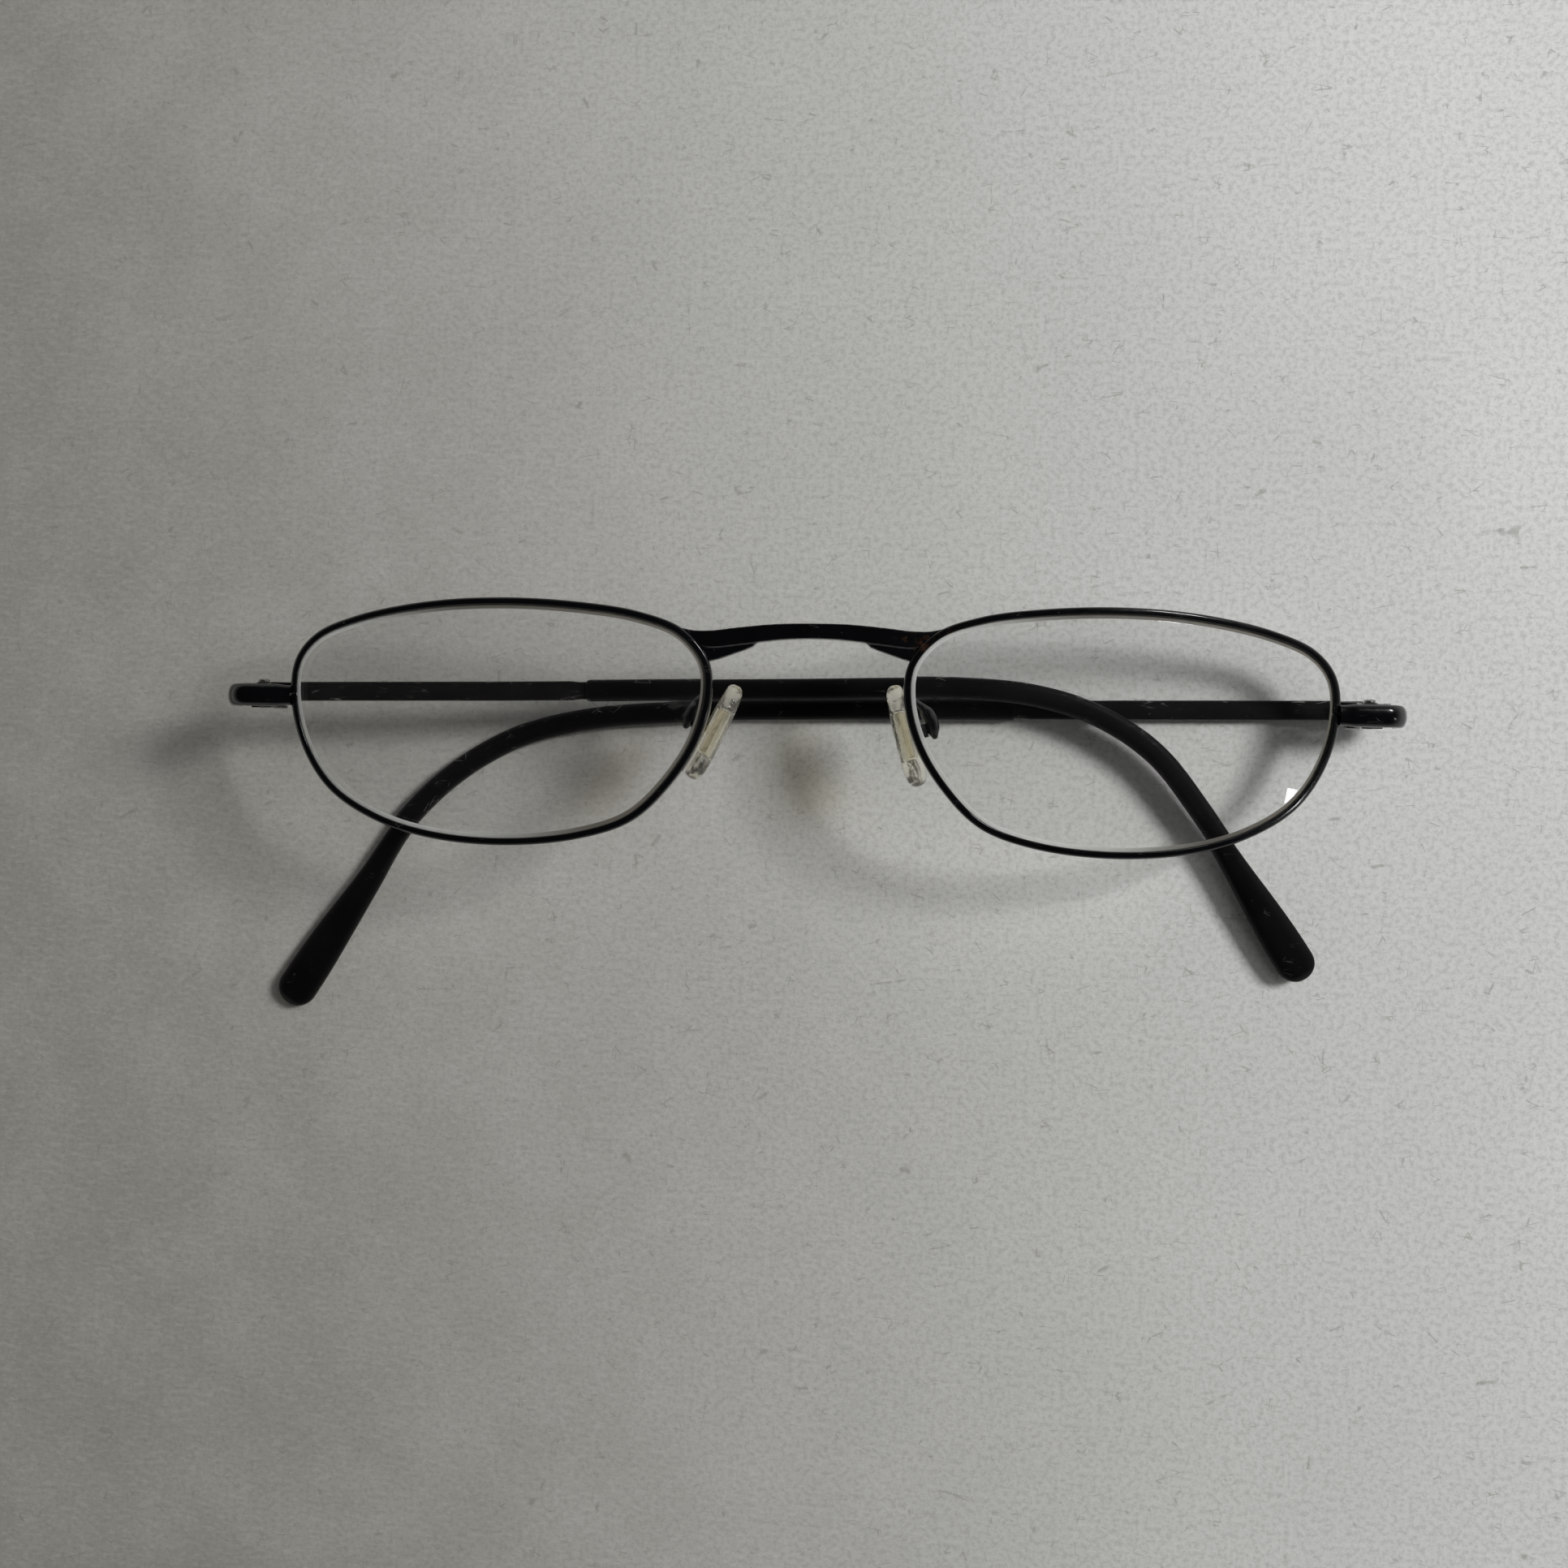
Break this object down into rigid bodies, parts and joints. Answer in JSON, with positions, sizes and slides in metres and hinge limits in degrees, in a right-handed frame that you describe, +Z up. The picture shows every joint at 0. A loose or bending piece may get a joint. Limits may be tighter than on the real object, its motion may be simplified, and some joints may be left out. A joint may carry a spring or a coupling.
{
  "type": "folding reading glasses",
  "caption": "Slim metal full-rim reading glasses, folded, with clear half-height lenses, adjustable nose pads and two hinged temples with bent plastic tips.",
  "frame": {"origin": "middle of the footprint on the surface that the folded glasses lie on", "axes": "+X along the front from the viewer's left to right, +Y from the lower rims towards the bridge, +Z up out of the surface, the way the front of the lenses faces"},
  "size_m": [0.132, 0.0482, 0.0197],
  "materials": {
    "frame_enamel": "glossy black enamel, worn to a copper tint at the edges",
    "arm_paint": "satin black paint with fine scuffs",
    "tip_plastic": "matt black plastic with a soft sheen",
    "screw_steel": "small darkened steel screws",
    "lens_plastic": "clear optical plastic with light scratches and dust",
    "pad_vinyl": "clear soft vinyl, slightly yellowed",
    "insert_plastic": "translucent stiff plastic"
  },
  "bodies": {
    "front": {"bridge": "frame_enamel", "left_rim": "frame_enamel", "left_lens": "lens_plastic", "left_end_piece": "frame_enamel", "left_closing_block_upper": "frame_enamel", "left_closing_block_lower": "frame_enamel", "left_closing_screw": "screw_steel", "left_pad_wire": "frame_enamel", "left_front_hinge": "frame_enamel", "left_hinge_screw": "screw_steel", "left_pad_box": "frame_enamel", "left_pad_screw": "screw_steel", "right_rim": "frame_enamel", "right_lens": "lens_plastic", "right_end_piece": "frame_enamel", "right_closing_block_upper": "frame_enamel", "right_closing_block_lower": "frame_enamel", "right_closing_screw": "screw_steel", "right_pad_wire": "frame_enamel", "right_front_hinge": "frame_enamel", "right_hinge_screw": "screw_steel", "right_pad_box": "frame_enamel", "right_pad_screw": "screw_steel"},
    "left_temple": {"left_temple_hinge": "frame_enamel", "left_temple_arm": "arm_paint", "left_temple_tip": "tip_plastic"},
    "right_temple": {"right_temple_hinge": "frame_enamel", "right_temple_arm": "arm_paint", "right_temple_tip": "tip_plastic"},
    "left_pad": {"left_nose_pad": "pad_vinyl", "left_pad_insert": "insert_plastic"},
    "right_pad": {"right_nose_pad": "pad_vinyl", "right_pad_insert": "insert_plastic"}
  },
  "joints": [
    {"name": "left_temple_fold", "type": "hinge", "parent": "front", "child": "left_temple", "pos_m": [-0.06246, 0.01328, 0.0138], "axis": [-0.0191, 0.9998, 0.0015], "range_deg": [0, 90]},
    {"name": "right_temple_fold", "type": "hinge", "parent": "front", "child": "right_temple", "pos_m": [0.06234, 0.01328, 0.00376], "axis": [0.0191, -0.9998, -0.0015], "range_deg": [0, 85]},
    {"name": "left_pad_rock", "type": "hinge", "parent": "front", "child": "left_pad", "pos_m": [-0.01166, 0.01065, 0.01329], "axis": [0.2946, -0.1061, 0.9497], "range_deg": [-10, 10]},
    {"name": "right_pad_rock", "type": "hinge", "parent": "front", "child": "right_pad", "pos_m": [0.01262, 0.01036, 0.01134], "axis": [-0.1546, -0.0646, 0.9859], "range_deg": [-10, 10]}
  ]
}
